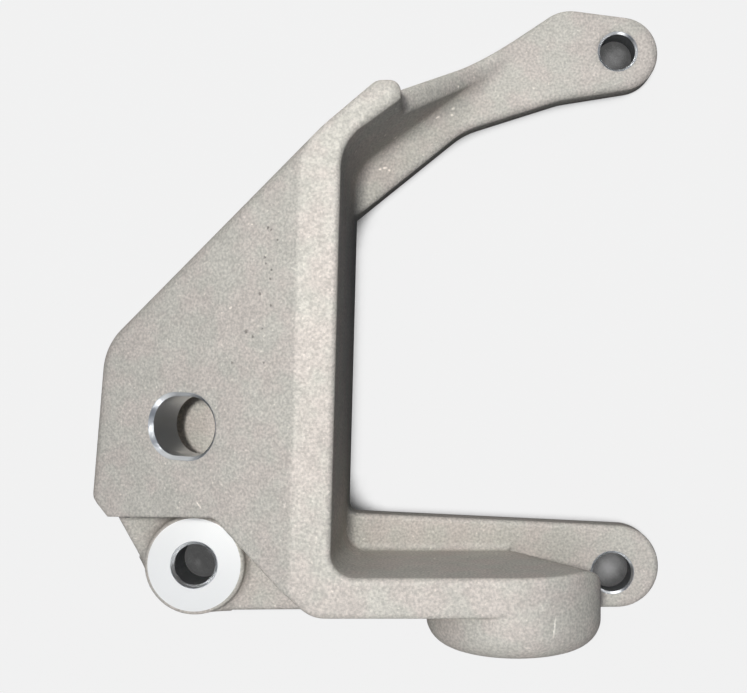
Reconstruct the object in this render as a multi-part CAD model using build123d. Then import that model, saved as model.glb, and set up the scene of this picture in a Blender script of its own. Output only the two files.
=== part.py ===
from build123d import *
import os
from math import asin, atan2, cos, hypot, radians, sin, tan

# Engine mounting bracket, one aluminium casting, in millimetres.
# The machined mounting face lies in the plane Z = 0 and the main bolt's bore runs along the Z axis.
# X runs towards the two arms, Y up along the wall, Z out of the mounting face.

os.makedirs("parts", exist_ok=True)

# Casting
depth = 50.7               # mounting face to the free edge of the wall and the shelf
plate_t = 7.5              # rear plate behind everything
edge_r = 1.5               # rounding of the open edges
root_r = 3.0               # hollow rounding where the walls and the boss rise from the plate
shelf_root_r = 2.0         # the same above the shelf
rib_root_r = 5.0           # and along the curl and the rib

# Main bolt's boss, on the origin
boss_bore = 12.5
boss_spot_r = 14.2         # machined spot face
boss_r = 15.3
boss_rise = 5.3            # spot face above the plate
bore_bevel = 0.9
lug_bevel = 0.6

# Upright wall and shelf, which share one bent outline
wall_t = 10.8
wall_root_x = 45.8         # wall's inner face where it would meet the shelf's top
wall_lean = 1.5            # degrees towards +X
shelf_top = 3.7
shelf_t = 10.9
inner_corner_r = 6.5
outer_corner_r = 10.0

# Foot, a round pad whose cylinder also ends the shelf
foot_x = 96.4
foot_drop = 12.2           # below the shelf
foot_edge_r = 7.5          # rounding of its lower rim
brow_off_x = 12.6          # pad's axis to a spot on the line where its flat top starts to curve down
brow_off_z = 8.85
brow_turn = 32.6           # degrees of that line from the Z axis towards +X
brow_r = 20.0
brow_fall = 60.0           # degrees
foot_thread_bore = 10.2    # blind hole for an M12 thread, from below
foot_thread_depth = 16.0
foot_thread_bevel = 1.0

# Wall's curl and the rib that runs out along the top arm
rib_rise = 36.0            # degrees, inner side of the rib from the X axis
curl_r = 14.0              # inner side of the wall bending into the rib
curl_start = 120.7         # height at which the wall's and the rib's inner lines would cross
rib_end = 102.0            # beyond here it has died into the plate
nose_x = 64.8              # free end of the full height wall
nose_top = 137.2
nose_r = 3.0
nose_shoulder_r = 4.5
ramp_start_z = 34.0        # rib's height at the nose
ramp_fall = 47.5           # degrees
ramp_r = 26.0              # hollow that eases the rib into the plate

# Slanted hood on the left, with the slot
hood_slant = 25.0          # degrees
hood_t = 11.0
hood_rim_r = 6.0           # rounding along the upper line and the left end
hood_left = -28.9          # lower left corner
hood_left_lean = 4.7       # degrees, left end towards +X
hood_top_line = 120.1      # height at which the upper side line crosses the wall's outer face
hood_top_rise = 40.2       # degrees
hood_corner_r = 18.0
hood_foot = 16.3           # lower edge at the left end
hood_foot_rise = 3.0       # degrees
hood_foot_r = 4.0
hood_clip = 5.8            # lower left corner cut off
skirt_x = 12.3             # where the lower edge turns down to the wall's foot
skirt_fall = 42.0          # degrees
side_t = 9.0               # side wall along the upper line
pocket_end = 8.6           # room between the plate and the hood where the pocket ends
pocket_r = 4.0
slot_w = 17.0
slot_l = 22.0
slot_x = 2.1
slot_y = 43.5
slot_bevel = 1.0

# Lower arm
low_bore = 12.0
low_bore_at = (128.3, -3.4)
low_lug_at = (130.0, -1.6)
low_lug_r = 12.7
low_arm_edge = 15.1        # arm's upper edge at the wall
plate_corner = (-25.5, 14.3)  # plate's corner that shows below the hood
plate_corner_r = 6.0

# Top arm
top_bore = 11.0
top_bore_at = (130.0, 158.1)
top_lug_at = (131.2, 157.7)
top_lug_r = 11.3
arm_root = (47.0, 105.4)   # lower edge at the wall
arm_knee = (82.3, 133.8)
arm_heel = (112.0, 143.2)
arm_crest = (112.5, 171.5)
arm_neck = (56.0, 134.0)   # upper edge inside the wall's end
arm_knee_r = 22.0
arm_crest_r = 12.0


def tangent_point(start, centre, radius, side):
    """Point where the line from start touches the circle, on the left (1) or right (-1) of the way."""
    reach = hypot(centre[0] - start[0], centre[1] - start[1])
    course = atan2(centre[1] - start[1], centre[0] - start[0]) + side * asin(radius / reach)
    length = (reach**2 - radius**2) ** 0.5
    return (start[0] + length * cos(course), start[1] + length * sin(course))


def wall_inner_x(y):
    return wall_root_x + (y - shelf_top) * tan(radians(wall_lean))


def wall_outer_x(y):
    return wall_inner_x(y) - wall_t


def rounded_face(corners):
    """Face inside the closed outline of (x, y, radius) corners."""
    points = [(x, y) for x, y, radius in corners]
    radii = [radius for x, y, radius in corners]
    return make_face(FilletPolyline(*points, radius=radii, close=True))


# Lines that several pieces share
touch = 0.01               # closer than this counts as the same place
shelf_foot = shelf_top - shelf_t
curl_at = (wall_inner_x(curl_start), curl_start)
hood_top_at = (wall_outer_x(hood_top_line), hood_top_line)
hood_rate = tan(radians(hood_top_rise))
rib_way = Vector(cos(radians(rib_rise)), sin(radians(rib_rise)), 0)
pocket_fall = depth - plate_t - hood_t / cos(radians(hood_slant)) - pocket_end
pocket_left = wall_outer_x(slot_y) - pocket_fall / tan(radians(hood_slant))


def hood_top_y(x):
    return hood_top_at[1] + (x - hood_top_at[0]) * hood_rate


def hood_top_left():
    """Corner where the leaning left end meets the upper line."""
    lean = tan(radians(hood_left_lean))
    rise = (hood_top_y(hood_left) - hood_foot) / (1 - lean * hood_rate)
    return (hood_left + rise * lean, hood_foot + rise)


def rib_inner_y(x):
    return curl_at[1] + (x - curl_at[0]) * tan(radians(rib_rise))


def plate_outline():
    """Outline of the flat plate: the part around the boss, both arms and their lugs."""
    boss_side = tangent_point(plate_corner, (0, 0), boss_r, -1)
    lug_foot = (low_lug_at[0], low_lug_at[1] - low_lug_r)
    boss_foot = tangent_point(lug_foot, (0, 0), boss_r, 1)
    lug_head = (low_lug_at[0], low_lug_at[1] + low_lug_r)
    heel_touch = tangent_point(arm_heel, top_lug_at, top_lug_r, -1)
    crest_touch = tangent_point(arm_crest, top_lug_at, top_lug_r, 1)
    outline = rounded_face([
        (plate_corner[0], hood_foot + hood_clip, 0),
        (plate_corner[0], plate_corner[1], plate_corner_r),
        (boss_side[0], boss_side[1], 0),
        (0, 0, 0),
        (boss_foot[0], boss_foot[1], 0),
        (lug_foot[0], lug_foot[1], 0),
        (low_lug_at[0], low_lug_at[1], 0),
        (lug_head[0], lug_head[1], 0),
        (wall_inner_x(low_arm_edge), low_arm_edge, root_r),
        (arm_root[0], arm_root[1], root_r),
        (arm_knee[0], arm_knee[1], arm_knee_r),
        (arm_heel[0], arm_heel[1], arm_knee_r),
        (heel_touch[0], heel_touch[1], 0),
        (top_lug_at[0], top_lug_at[1], 0),
        (crest_touch[0], crest_touch[1], 0),
        (arm_crest[0], arm_crest[1], arm_crest_r),
        (arm_neck[0], arm_neck[1], 0),
        (curl_at[0] - wall_t / 2, curl_at[1], 0),
    ])
    outline += Circle(boss_r)
    outline += Pos(*low_lug_at) * Circle(low_lug_r)
    outline += Pos(*top_lug_at) * Circle(top_lug_r)
    return outline


def make_shell():
    """Upright wall with its curl and nose, the straight part of the shelf, and the hood beside them."""
    skirt_y = hood_foot + (skirt_x - hood_left) * tan(radians(hood_foot_rise))
    skirt_end_x = skirt_x + (skirt_y - shelf_foot) / tan(radians(skirt_fall))
    shoulder_x = hood_top_at[0] + (nose_top - hood_top_at[1]) / hood_rate
    outline = rounded_face([
        (nose_x, nose_top, nose_r),
        (shoulder_x, nose_top, nose_shoulder_r),
        (*hood_top_left(), hood_corner_r),
        (hood_left, hood_foot + hood_clip, 0),
        (hood_left + hood_clip, hood_foot, 0),
        (skirt_x, skirt_y, hood_foot_r),
        (skirt_end_x, shelf_foot, outer_corner_r),
        (foot_x, shelf_foot, 0),
        (foot_x, shelf_top, 0),
        (wall_inner_x(shelf_top), shelf_top, inner_corner_r),
        (curl_at[0], curl_at[1], curl_r),
        (nose_x, rib_inner_y(nose_x), 0),
    ])
    shell = extrude(outline, depth) - above(slant_plane(0))
    shell = fillet(shell.edges().filter_by(is_hood_rim), hood_rim_r)
    shell = fillet(shell.edges().filter_by(is_open_edge), edge_r)
    return shell - make_pocket()


def is_hood_rim(edge):
    """Edge between the sloping face and the side along the upper line."""
    middle = edge.center()
    on_line = abs(middle.Y - hood_top_y(middle.X)) < touch
    slopes = abs(abs(edge.tangent_at(0).Z) - 0.5) < 0.49
    return on_line and slopes


def is_open_edge(edge):
    """Edge of the front of the wall and the shelf, or an upright corner that leads to the hood's foot."""
    middle = edge.center()
    on_front = min((edge @ 0).Z, (edge @ 1).Z) > depth - touch and middle.X < foot_x - touch
    turn = hypot(middle.X - hood_left, middle.Y - hood_foot)
    on_corner = abs(turn - hood_clip) < touch
    return on_front or on_corner


def slant_plane(below):
    """Plane of the hood's outer face, or that far below it, with its X along the slope."""
    lean = radians(wall_lean)
    crest = Plane((wall_outer_x(0), 0, depth), x_dir=(cos(lean), -sin(lean), 0), z_dir=(0, 0, 1))
    return Plane(crest * Rot(0, -hood_slant, 0) * Pos(0, 0, -below))


def above(place):
    """All space on the outer side of a plane."""
    reach = 4 * depth + 2 * (low_lug_at[0] + top_lug_at[1])
    return place * Box(reach, reach, reach, align=(Align.CENTER, Align.CENTER, Align.MIN))


def make_pocket():
    """Hollow between the hood and the plate, open downwards."""
    drop = side_t / cos(radians(hood_top_rise))
    right_top = (wall_outer_x(hood_top_at[1] - drop), hood_top_at[1] - drop)
    low = -boss_r - 2 * pocket_r
    core = rounded_face([
        (right_top[0], right_top[1], 0),
        (pocket_left, hood_top_y(pocket_left) - drop, 0),
        (pocket_left, low, 0),
        (wall_outer_x(low), low, 0),
    ])
    core = Pos(0, 0, plate_t) * extrude(core, depth) - above(slant_plane(hood_t))
    return fillet(core.edges(), pocket_r)


def make_slot():
    """Bolt slot square to the sloping face, bevelled at its mouth."""
    crest_gap = (wall_outer_x(slot_y) - slot_x) * cos(radians(wall_lean))
    face_z = depth - crest_gap * tan(radians(hood_slant))
    mouth = slant_plane(0)
    place = Plane((slot_x, slot_y, face_z), x_dir=mouth.x_dir, z_dir=mouth.z_dir)
    bore = place * extrude(SlotOverall(slot_l, slot_w), hood_t + pocket_r, both=True)
    wide = SlotOverall(slot_l + 2 * slot_bevel, slot_w + 2 * slot_bevel)
    bevel = place * extrude(wide, -slot_bevel, taper=45)
    return bore + bevel


def make_foot():
    """Shelf's round end and the round pad below it, on one upright axis."""
    radius = depth / 2
    top = Plane((foot_x, shelf_top, radius), x_dir=(-1, 0, 0), z_dir=(0, -1, 0))
    pad = extrude(top * Circle(radius), shelf_t + foot_drop)
    pad = fillet(pad.edges().filter_by(GeomType.CIRCLE).sort_by(Axis.Y)[0], foot_edge_r)
    pad -= foot_brow()
    rim = pad.edges().filter_by(lambda edge: is_pad_rim(edge, radius))
    return fillet(rim, edge_r)


def is_pad_rim(edge, radius):
    """Edge of the pad's top on its round side."""
    spots = [edge @ part for part in (0, 0.5, 1)]
    on_round = all(abs(hypot(spot.X - foot_x, spot.Z - radius) - radius) < touch for spot in spots)
    return on_round and abs(edge.tangent_at(0.5).Y) < 0.9 and spots[1].Y > shelf_foot


def foot_brow():
    """What is missing of the pad's top, which curves down from a slanting line towards the lower lug."""
    turn = radians(brow_turn)
    start = (foot_x + brow_off_x, shelf_top, depth / 2 + brow_off_z)
    along = Plane(start, x_dir=(cos(turn), 0, -sin(turn)), z_dir=(sin(turn), 0, cos(turn)))
    end = (brow_r * sin(radians(brow_fall)), -brow_r * (1 - cos(radians(brow_fall))))
    profile = Face(Wire([
        RadiusArc((0, 0), end, brow_r),
        Line(end, (end[0] + depth, end[1])),
        Line((end[0] + depth, end[1]), (end[0] + depth, wall_t)),
        Line((end[0] + depth, wall_t), (0, wall_t)),
        Line((0, wall_t), (0, 0)),
    ]))
    return extrude(along * profile, 2 * depth, both=True)


def make_rib(outline):
    """Rib along the top arm's upper edge, as high as the nose and falling to nothing."""
    foot = nose_x + (ramp_start_z - plate_t) / tan(radians(ramp_fall))
    top = plate_t + (foot - curl_at[0]) * tan(radians(ramp_fall))
    ramp = rounded_face([
        (curl_at[0], top, 0),
        (foot, plate_t, ramp_r),
        (rib_end, plate_t, 0),
        (rib_end, 0, 0),
        (curl_at[0], 0, 0),
    ])
    along = Plane(Vector(*curl_at, 0), x_dir=rib_way, z_dir=(0, 0, 1))
    band = along * Box(rib_end, 2 * wall_t, 4 * depth, align=(Align.MIN, Align.MIN, Align.CENTER))
    rib = band & extrude(Plane.XZ * ramp, -4 * rib_end)
    crest = rib.edges().filter_by(is_inner_crest)
    return fillet(crest, edge_r) & extrude(outline, depth - 2 * edge_r)


def is_inner_crest(edge):
    """Upper edge of the rib on the side of the gap, down to where it meets the plate."""
    middle = edge.center()
    off_line = abs(middle.Y - rib_inner_y(middle.X))
    return off_line < touch and middle.Z > plate_t + touch and abs(edge.tangent_at(0.5).X) > touch


def make_boss(outline):
    """Main bolt's boss with its spot face, on a root that widens as far as the plate goes."""
    boss = Cylinder(boss_r, plate_t + boss_rise, align=(Align.CENTER, Align.CENTER, Align.MIN))
    boss = fillet(boss.edges().sort_by(Axis.Z)[-1], boss_r - boss_spot_r)
    wide = boss_r + root_r
    flare = Face(Wire([
        Line((0, plate_t), (wide, plate_t)),
        RadiusArc((wide, plate_t), (boss_r, plate_t + root_r), root_r),
        Line((boss_r, plate_t + root_r), (0, plate_t + root_r)),
        Line((0, plate_t + root_r), (0, plate_t)),
    ]))
    return boss + (revolve(Plane.XZ * flare, Axis.Z) & extrude(outline, depth))


def bolt_hole(at, bore, height, bevel):
    """Through hole along Z, bevelled at the end away from the mounting face."""
    hole = Pos(*at) * Cylinder(bore / 2, 4 * depth)
    mouth = Pos(at[0], at[1], height) * Circle(bore / 2 + bevel)
    return hole + extrude(mouth, -bevel, taper=45)


def foot_thread():
    """Blind hole for the foot's screw thread, bevelled at its mouth."""
    under = Plane((foot_x, shelf_foot - foot_drop, depth / 2), x_dir=(1, 0, 0), z_dir=(0, 1, 0))
    hole = extrude(under * Circle(foot_thread_bore / 2), foot_thread_depth)
    mouth = under * Circle(foot_thread_bore / 2 + foot_thread_bevel)
    return hole + extrude(mouth, foot_thread_bevel, taper=45)


def plate_edge(body, at):
    """Edge at the level of the plate's top that lies nearest to the spot."""
    level = body.edges().filter_by(is_level)
    return [level.sort_by_distance((at[0], at[1], plate_t))[0]]


def is_level(edge):
    return all(abs((edge @ part).Z - plate_t) < touch for part in (0, 0.5, 1))


# Walls and rib rise from the plate, with hollow roots and a rounded rim
outline = plate_outline()
shelf_middle = (wall_inner_x(shelf_top) + foot_x) / 2
casting = extrude(outline, plate_t) + make_shell() + make_foot() + make_rib(outline)
casting = casting.fillet(rib_root_r, plate_edge(casting, (nose_x, rib_inner_y(nose_x))))
casting = casting.fillet(shelf_root_r, plate_edge(casting, (shelf_middle, shelf_top)))
casting = casting.fillet(root_r, plate_edge(casting, (shelf_middle, shelf_foot)))
casting = casting.fillet(edge_r, plate_edge(casting, (0, -boss_r)))
casting = casting.fillet(edge_r, plate_edge(casting, (low_lug_at[0], low_lug_at[1] + low_lug_r)))
casting = casting.fillet(edge_r, plate_edge(casting, arm_knee))
casting += make_boss(outline)

# Machined holes
casting -= make_slot()
casting -= foot_thread()
casting -= bolt_hole((0, 0), boss_bore, plate_t + boss_rise, bore_bevel)
casting -= bolt_hole(low_bore_at, low_bore, plate_t, lug_bevel)
casting -= bolt_hole(top_bore_at, top_bore, plate_t, lug_bevel)
export_step(casting, "parts/bracket_casting.step")
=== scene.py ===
import math

import bpy
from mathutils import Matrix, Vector

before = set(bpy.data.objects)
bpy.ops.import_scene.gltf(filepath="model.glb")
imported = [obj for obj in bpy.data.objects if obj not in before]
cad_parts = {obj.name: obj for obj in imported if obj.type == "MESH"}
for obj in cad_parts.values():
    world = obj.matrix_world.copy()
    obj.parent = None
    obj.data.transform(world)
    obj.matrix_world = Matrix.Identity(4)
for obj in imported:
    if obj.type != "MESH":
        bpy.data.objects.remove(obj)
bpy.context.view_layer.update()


def hex_linear(text):
    """Linear colour of an sRGB hex code."""
    values = [int(text[i:i + 2], 16) / 255 for i in (0, 2, 4)]
    return [v / 12.92 if v <= 0.04045 else ((v + 0.055) / 1.055) ** 2.4 for v in values] + [1.0]


def add_node(tree, kind, settings=None, **links):
    """Adds a shader node; links name its inputs and give a socket or a value for each.

    An input that shares its name with another is given by its place, as i0, i1 and so on.
    """
    node = tree.nodes.new(kind)
    for name, value in (settings or {}).items():
        setattr(node, name, value)
    for name, value in links.items():
        by_place = name[0] == "i" and name[1:].isdigit()
        socket = node.inputs[int(name[1:]) if by_place else name.replace("_", " ")]
        if isinstance(value, bpy.types.NodeSocket):
            tree.links.new(value, socket)
        else:
            socket.default_value = value
    return node


# Bracket casting: one piece of cast aluminium, shot blasted all over to a dull, grainy grey.
# Its mounting face, the boss's spot face, the bolt bores, the slot and the foot's underside are
# machined after that and stay bright.

# Machined places, in metres
rim = 0.00012                           # each one reaches this far past its surface, so that no gap shows
spot_r, spot_z = 0.0142, 0.0126         # boss's spot face, and a height just below it
bores = (                               # centre, radius with the bevel
    ((0.0, 0.0, 0.0), 0.00715), ((0.1283, -0.0034, 0.0), 0.0066), ((0.1300, 0.1581, 0.0), 0.0061),
)
slot_at = (0.0021, 0.0435, 0.0349)      # middle of the slot's mouth; it runs square to the sloping hood
slot_turn = (0.0, math.radians(-25.0), math.radians(-1.5))
slot_half, slot_r = 0.0025, 0.0095      # half of its straight part, end radius with the bevel
slot_floor = 0.018                      # height of its lowest point
thread_x, thread_z = 0.0964, 0.02535    # axis of the foot's blind hole, which runs along Y
thread_r, thread_y = 0.0051, 0.0        # its radius, and a Y past its end
foot_face_y = -0.0193                   # just above the foot's underside
ring_pitch = 0.00045                    # between the rings that the cutter leaves
arm_x, arm_y = 0.055, 0.110             # the top arm lies past both
edge_r, arm_edge_r = 0.0015, 0.0040     # edges worn soft by the blasting, and the top arm's

# Pattern sizes, in mm. The grit's dents are about 0.4 mm wide and too fine to show, so the grains are
# drawn at 0.74 mm.
grain_mm, fleck_mm, cloud_mm, stain_mm = 0.74, 1.1, 7.7, 9.0
ragged_mm, chatter_mm = 0.55, 2.0       # raggedness of the marks' outlines, and the drill's chatter
ragged_reach = 0.0006                   # how far that shifts an outline, in metres

# Pits in the hood's skin: centre, radius
pits = (
    ((0.0287, 0.0980, 0.0466), 0.00045), ((0.0296, 0.0973, 0.0470), 0.00035),
    ((0.0315, 0.0945, 0.0480), 0.00035), ((0.0277, 0.0900, 0.0463), 0.00050),
    ((0.0281, 0.0883, 0.0465), 0.00040), ((0.0298, 0.0865, 0.0473), 0.00035),
    ((0.0293, 0.0841, 0.0470), 0.00040), ((0.0263, 0.0802, 0.0457), 0.00050),
    ((0.0295, 0.0769, 0.0472), 0.00045), ((0.0221, 0.0699, 0.0439), 0.00070),
    ((0.0242, 0.0685, 0.0449), 0.00045), ((0.0270, 0.0707, 0.0462), 0.00035),
    ((0.0180, 0.0614, 0.0421), 0.00050), ((0.0276, 0.0614, 0.0466), 0.00035),
)
pit_tone, pit_depth = 0.5, -1.5         # tone left in a pit, and its height against the grain's

# Bright nicks: centre, half sizes, turn about Z
nicks = (
    # specks on the hood, a scratch above the boss and one on the foot
    ((0.0175, 0.0766, 0.0416), (0.0006, 0.0004, 0.0010), 0.6),
    ((0.0239, 0.0992, 0.0444), (0.0003, 0.0003, 0.0010), 0.0),
    ((0.0077, 0.0217, 0.0377), (0.0015, 0.0003, 0.0012), -0.8),
    ((0.1061, -0.0098, 0.0487), (0.0033, 0.0003, 0.0012), 1.45),
    # lumps on the rib and along its root
    ((0.0578, 0.1220, 0.0076), (0.0008, 0.0004, 0.0008), 0.3),
    ((0.0564, 0.1216, 0.0077), (0.0005, 0.0004, 0.0008), 0.0),
    ((0.0592, 0.1213, 0.0075), (0.0005, 0.0004, 0.0008), 0.0),
    ((0.0791, 0.1402, 0.0085), (0.0007, 0.0004, 0.0010), 0.6),
    ((0.0786, 0.1383, 0.0078), (0.0005, 0.0004, 0.0008), 0.0),
    ((0.0591, 0.1281, 0.0248), (0.0005, 0.0005, 0.0006), 0.0),
    ((0.0615, 0.1299, 0.0141), (0.0006, 0.0006, 0.0008), 0.0),
    ((0.0513, 0.1215, 0.0329), (0.0005, 0.0005, 0.0006), 0.0),
    ((0.0805, 0.1446, 0.0169), (0.0004, 0.0005, 0.0005), 0.0),
    ((0.0742, 0.1373, 0.0090), (0.0008, 0.0003, 0.0008), 0.5),
)
nick_tone = 0.6                         # tone that a nick adds

# Cast aluminium blasted with grit: a pale, slightly warm grey that has no shine, because the dents
# spread the light, with a fine grain of light and dark points
cast = bpy.data.materials.new("shot blasted cast aluminium")
cast.use_nodes = True
tree = cast.node_tree
tree.nodes.clear()
place = add_node(tree, "ShaderNodeTexCoord").outputs["Object"]
x, y, z = add_node(tree, "ShaderNodeSeparateXYZ", Vector=place).outputs

# Tone of the skin: grains, a few of them bright, over slow clouds
grain = add_node(tree, "ShaderNodeTexNoise", Vector=place, Scale=1000 / grain_mm, Detail=1.5,
                 Roughness=0.55)
fleck = add_node(tree, "ShaderNodeTexNoise", Vector=place, Scale=1000 / fleck_mm, Detail=1.0)
cloud = add_node(tree, "ShaderNodeTexNoise", Vector=place, Scale=1000 / cloud_mm, Detail=2.0)
tone, drift, spark = (
    add_node(tree, "ShaderNodeMapRange", Value=noise.outputs["Fac"], From_Min=low, From_Max=high,
             To_Min=darkest, To_Max=lightest).outputs[0]
    for noise, low, high, darkest, lightest in (
        (grain, 0.3, 0.7, 0.80, 1.16), (cloud, 0.3, 0.7, 0.96, 1.04), (fleck, 0.68, 0.76, 0.0, 0.25),
    )
)
shade = add_node(tree, "ShaderNodeMath", {"operation": "MULTIPLY_ADD"}, i0=tone, i1=drift, i2=spark)

# Pits and nicks have ragged outlines, because a noise shifts the place they are drawn at
wobble = add_node(tree, "ShaderNodeTexNoise", Vector=place, Scale=1000 / ragged_mm, Detail=2.0)
shift = add_node(tree, "ShaderNodeVectorMath", {"operation": "SUBTRACT"}, i0=wobble.outputs["Color"],
                 i1=(0.5, 0.5, 0.5))
shift = add_node(tree, "ShaderNodeVectorMath", {"operation": "SCALE"}, i0=shift.outputs[0],
                 Scale=ragged_reach)
ragged = add_node(tree, "ShaderNodeVectorMath", {"operation": "ADD"}, i0=place, i1=shift.outputs[0])


def mark(centre, half, turn):
    """1 in an ellipsoid, fading to 0 at its outline."""
    local = add_node(tree, "ShaderNodeMapping", {"vector_type": "TEXTURE"}, Vector=ragged.outputs[0],
                     Location=centre, Rotation=(0.0, 0.0, turn), Scale=half)
    reach = add_node(tree, "ShaderNodeVectorMath", {"operation": "LENGTH"}, i0=local.outputs[0])
    return add_node(tree, "ShaderNodeMapRange", Value=reach.outputs["Value"], From_Min=0.5, From_Max=1.1,
                    To_Min=1.0, To_Max=0.0).outputs[0]


def any_of(tree, masks):
    """1 where one of the masks is 1."""
    found = 0.0
    for mask in masks:
        found = add_node(tree, "ShaderNodeMath", {"operation": "MAXIMUM"}, i0=mask, i1=found).outputs[0]
    return found


def area(*limits):
    """1 where each value is on the named side of its limit, else 0."""
    mask = 1.0
    for value, side, limit in limits:
        inside = add_node(tree, "ShaderNodeMath", {"operation": side}, i0=value, i1=limit).outputs[0]
        mask = add_node(tree, "ShaderNodeMath", {"operation": "MULTIPLY"}, i0=inside, i1=mask).outputs[0]
    return mask


def off_axis(across, along, centre=(0.0, 0.0, 0.0)):
    """Distance from the axis through centre, which stands square to both coordinates."""
    flat = add_node(tree, "ShaderNodeCombineXYZ", X=across, Y=along).outputs[0]
    reach = add_node(tree, "ShaderNodeVectorMath", {"operation": "DISTANCE"}, i0=flat, i1=centre)
    return reach.outputs["Value"]


# The skin is darker in its pits and has painted shade in the hollows between walls, and its nicks show
# bare metal
pitted = any_of(tree, [mark(centre, (radius, radius, 2 * radius), 0.0) for centre, radius in pits])
nicked = any_of(tree, [mark(*nick) for nick in nicks])
# Painted shade: the skin's colour is darkened where nearby walls close it in, as along the rib's root, in
# the pocket and in the shelf's corner
crevice_occlusion = add_node(tree, "ShaderNodeAmbientOcclusion", {"samples": 6}, Distance=0.020)
painted_crevice_shade = add_node(tree, "ShaderNodeMapRange", Value=crevice_occlusion.outputs["AO"], From_Min=0.4, From_Max=0.95,
                To_Min=0.75, To_Max=1.0)
pit_shade = add_node(tree, "ShaderNodeMapRange", Value=pitted, To_Min=1.0, To_Max=pit_tone)
for factor in (painted_crevice_shade, pit_shade):
    shade = add_node(tree, "ShaderNodeMath", {"operation": "MULTIPLY"}, i0=shade.outputs[0],
                     i1=factor.outputs[0])
shade = add_node(tree, "ShaderNodeMath", {"operation": "MULTIPLY_ADD"}, i0=nicked, i1=nick_tone,
                 i2=shade.outputs[0])
height = add_node(tree, "ShaderNodeMath", {"operation": "MULTIPLY_ADD"}, i0=pitted, i1=pit_depth,
                  i2=grain.outputs["Fac"])

# Its colour wanders between two warm greys. A colour mix takes its colours at places 6 and 7 and gives
# its result at 2.
stain = add_node(tree, "ShaderNodeTexNoise", Vector=place, Scale=1000 / stain_mm, Detail=2.0)
hue = add_node(tree, "ShaderNodeMapRange", Value=stain.outputs["Fac"], From_Min=0.4, From_Max=0.6)
tint = add_node(tree, "ShaderNodeMix", {"data_type": "RGBA"}, i0=hue.outputs[0], i6=hex_linear("cfcbc1"),
                i7=hex_linear("d2cac1"))
skin_colour = add_node(tree, "ShaderNodeMix", {"data_type": "RGBA", "blend_type": "MULTIPLY"}, i0=1.0,
                       i6=tint.outputs[2], i7=shade.outputs[0])
# Its grain is raised a little, and light runs softly round its edges
on_arm = area((x, "GREATER_THAN", arm_x), (y, "GREATER_THAN", arm_y))
soft_r = add_node(tree, "ShaderNodeMapRange", Value=on_arm, To_Min=edge_r, To_Max=arm_edge_r)
soft = add_node(tree, "ShaderNodeBevel", {"samples": 6}, Radius=soft_r.outputs[0])
skin_bump = add_node(tree, "ShaderNodeBump", Height=height.outputs[0], Strength=0.35, Distance=0.0003,
                     Normal=soft.outputs[0])
skin = add_node(tree, "ShaderNodeBsdfPrincipled", Base_Color=skin_colour.outputs[2], Metallic=0.22,
                Roughness=0.65, Specular_IOR_Level=0.0, Normal=skin_bump.outputs["Normal"])

# Milled aluminium on the spot face, the mounting face, the foot's underside and in its blind hole:
# nearly white, with fine rings
spot_reach = off_axis(x, y)
thread_reach = off_axis(x, z, (thread_x, thread_z, 0.0))
milled = any_of(tree, (
    area((spot_reach, "LESS_THAN", spot_r), (z, "GREATER_THAN", spot_z)),
    area((z, "LESS_THAN", rim)),
    area((thread_reach, "LESS_THAN", thread_r + rim), (y, "LESS_THAN", thread_y)),
    area((y, "LESS_THAN", foot_face_y)),
))
turns = add_node(tree, "ShaderNodeMath", {"operation": "MULTIPLY"}, i0=spot_reach,
                 i1=2 * math.pi / ring_pitch)
rings = add_node(tree, "ShaderNodeMath", {"operation": "SINE"}, i0=turns.outputs[0])
ring_bump = add_node(tree, "ShaderNodeBump", Height=rings.outputs[0], Strength=0.25, Distance=0.00002)
bright = add_node(tree, "ShaderNodeBsdfPrincipled", Base_Color=hex_linear("fafaf7"), Metallic=0.25,
                  Roughness=0.45, Normal=ring_bump.outputs["Normal"])

# Drilled aluminium in the bores and the slot: bare metal that mirrors its dark surroundings, with a
# slight waviness
slot_place = add_node(tree, "ShaderNodeMapping", {"vector_type": "TEXTURE"}, Vector=place,
                      Location=slot_at, Rotation=slot_turn)
for operation, value in (                # how far a point lies off the slot's middle line
    ("ABSOLUTE", (0.0, 0.0, 0.0)), ("SUBTRACT", (slot_half, 0.0, 0.0)), ("MAXIMUM", (0.0, 0.0, 0.0)),
    ("MULTIPLY", (1.0, 1.0, 0.0)),
):
    slot_place = add_node(tree, "ShaderNodeVectorMath", {"operation": operation}, i0=slot_place.outputs[0],
                          i1=value)
slot_reach = add_node(tree, "ShaderNodeVectorMath", {"operation": "LENGTH"}, i0=slot_place.outputs[0])
in_slot = area((slot_reach.outputs["Value"], "LESS_THAN", slot_r + rim), (z, "GREATER_THAN", slot_floor))
in_bores = [area((off_axis(x, y, centre), "LESS_THAN", radius + rim)) for centre, radius in bores]
bored = any_of(tree, in_bores + [in_slot])
chatter = add_node(tree, "ShaderNodeTexNoise", Vector=place, Scale=1000 / chatter_mm, Detail=2.0)
drill_bump = add_node(tree, "ShaderNodeBump", Height=chatter.outputs["Fac"], Strength=0.3, Distance=0.0003)
drilled = add_node(tree, "ShaderNodeBsdfPrincipled", Base_Color=hex_linear("d8dadb"), Metallic=0.9,
                   Roughness=0.30, Normal=drill_bump.outputs["Normal"])

surface = skin
for mask, machined in ((milled, bright), (bored, drilled)):
    surface = add_node(tree, "ShaderNodeMixShader", i0=mask, i1=surface.outputs[0], i2=machined.outputs[0])
add_node(tree, "ShaderNodeOutputMaterial", Surface=surface.outputs[0])

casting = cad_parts["bracket_casting"]
casting.data.materials.clear()
casting.data.materials.append(cast)


# Table: plain pale sheet under the part, no piece of the object. All round, far from the part, it
# sweeps up into a low wall. Painted shade darkens it right beside the part and down its bores.

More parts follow.
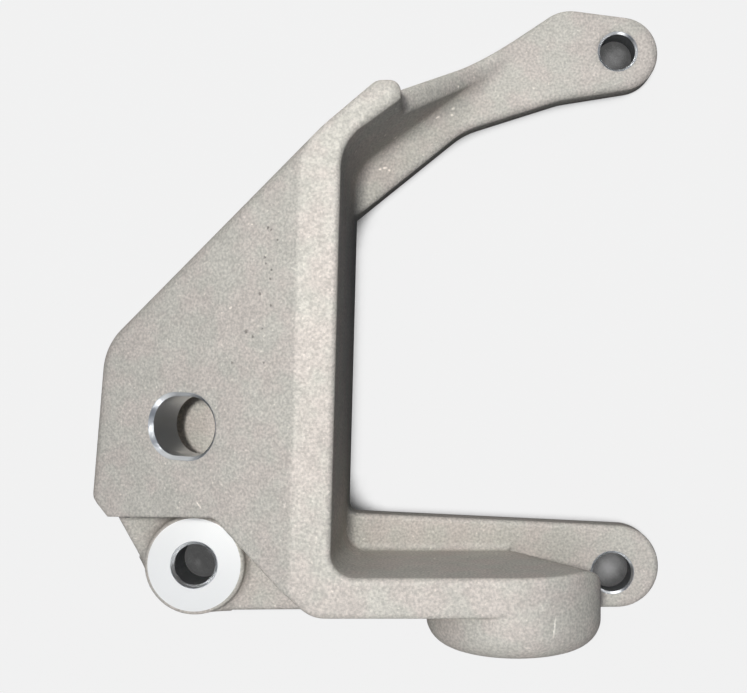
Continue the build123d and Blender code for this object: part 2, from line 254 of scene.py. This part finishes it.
sheet_at = (0.06, 0.07, -0.0002)
flat_r, sweep_r, wall_top = 2.0, 0.8, 1.0
around, sweep_step = 64, 10              # corners in each ring, degrees between the rings of the sweep
profile = [
    (flat_r + sweep_r * math.sin(math.radians(step)), sweep_r * (1 - math.cos(math.radians(step))))
    for step in range(0, 91, sweep_step)
] + [(flat_r + sweep_r, wall_top)]
points = []
for radius, height in profile:
    for step in range(around):
        turn = 2 * math.pi * step / around
        points.append((radius * math.cos(turn), radius * math.sin(turn), height))
faces = [tuple(range(around))]
for ring in range(len(profile) - 1):
    for step in range(around):
        first, second = ring * around + step, ring * around + (step + 1) % around
        faces.append((second, first, first + around, second + around))
sheet_mesh = bpy.data.meshes.new("floor")
sheet_mesh.from_pydata(points, [], faces)
for face in sheet_mesh.polygons[1:]:
    face.use_smooth = True
floor = bpy.data.objects.new("floor", sheet_mesh)
floor.location = sheet_at
bpy.context.scene.collection.objects.link(floor)

# Matt paper: off white and even away from the part, with painted shade beside the part and in its bores
sheet = bpy.data.materials.new("plain matt paper")
sheet.use_nodes = True
tree = sheet.node_tree
tree.nodes.clear()
ray = add_node(tree, "ShaderNodeLightPath")
mirrored_ray = ray.outputs["Is Glossy Ray"]
# How far the painted shade reaches and how dark it gets, as the sheet is seen and as the metal mirrors it
near_reach, dark_from, dark_to, darkest = (
    add_node(tree, "ShaderNodeMapRange", Value=mirrored_ray, To_Min=seen, To_Max=mirrored).outputs[0]
    for seen, mirrored in (              # as it is seen, and as the part's metal mirrors it
        (0.012, 0.120), (0.36, 0.86), (0.60, 0.99), (0.08, 0.02),
    )
)
# Painted shade: the sheet's glow and colour are dimmed where the part closes it in, reaching further out
# in what the metal mirrors
sheet_occlusion = add_node(tree, "ShaderNodeAmbientOcclusion", {"samples": 16}, Distance=near_reach)
painted_contact_shade = add_node(tree, "ShaderNodeMapRange", Value=sheet_occlusion.outputs["AO"], From_Min=dark_from, From_Max=dark_to,
               To_Min=darkest, To_Max=1.0)
shown = any_of(tree, (ray.outputs["Is Camera Ray"], mirrored_ray, ray.outputs["Is Transmission Ray"]))
glow = add_node(tree, "ShaderNodeEmission", Color=hex_linear("eeeeee"), Strength=shown)
matt = add_node(tree, "ShaderNodeBsdfDiffuse", Color=hex_linear("303030"))
both = add_node(tree, "ShaderNodeAddShader", i0=glow.outputs[0], i1=matt.outputs[0])
shaded_sheet = add_node(tree, "ShaderNodeMixShader", i0=painted_contact_shade.outputs[0], i2=both.outputs[0])
add_node(tree, "ShaderNodeOutputMaterial", Surface=shaded_sheet.outputs[0])
floor.data.materials.append(sheet)


# Camera: the photograph's place, straight above the part.

lens_px, wide_px, high_px = 1000.0, 747, 693
centre_px = (450.0, 368.0)
sensor_mm = 36.0
view = bpy.data.cameras.new("camera")
view.sensor_width = sensor_mm
view.lens = sensor_mm * lens_px / wide_px
view.shift_x = (wide_px / 2 - centre_px[0]) / wide_px
view.shift_y = (centre_px[1] - high_px / 2) / wide_px
view.clip_start = 0.01
camera = bpy.data.objects.new("camera", view)
camera.location = (0.078, 0.060, 0.3174)
bpy.context.scene.collection.objects.link(camera)
bpy.context.scene.camera = camera


# Studio light: a small lamp close to the camera gives the slot its crisp shade, and two wide, weak
# ones past the top arm and the foot light the faces that look away from it. The room adds a little
# even, bluish light.

aim = Vector((0.06, 0.07, 0.02))
lamps = (                                # name, diameter, power, place
    ("main_lamp", 0.05, 1.81, (0.030, 0.098, 0.50)),
    ("top_fill", 0.30, 0.70, (0.10, 0.55, 0.20)),
    ("low_fill", 0.30, 0.60, (0.04, -0.50, 0.26)),
)
for name, wide, power, lamp_at in lamps:
    light = bpy.data.lights.new(name, "AREA")
    light.shape, light.size, light.energy = "DISK", wide, power
    lamp = bpy.data.objects.new(name, light)
    lamp.location = lamp_at
    lamp.rotation_euler = (aim - lamp.location).to_track_quat("-Z", "Y").to_euler()
    bpy.context.scene.collection.objects.link(lamp)

world = bpy.data.worlds.new("room")
bpy.context.scene.world = world
world.use_nodes = True
tree = world.node_tree
tree.nodes.clear()
room = add_node(tree, "ShaderNodeBackground", Color=hex_linear("b4caf2"), Strength=0.13)
add_node(tree, "ShaderNodeOutputWorld", Surface=room.outputs[0])
bpy.context.scene.view_settings.view_transform = "Standard"
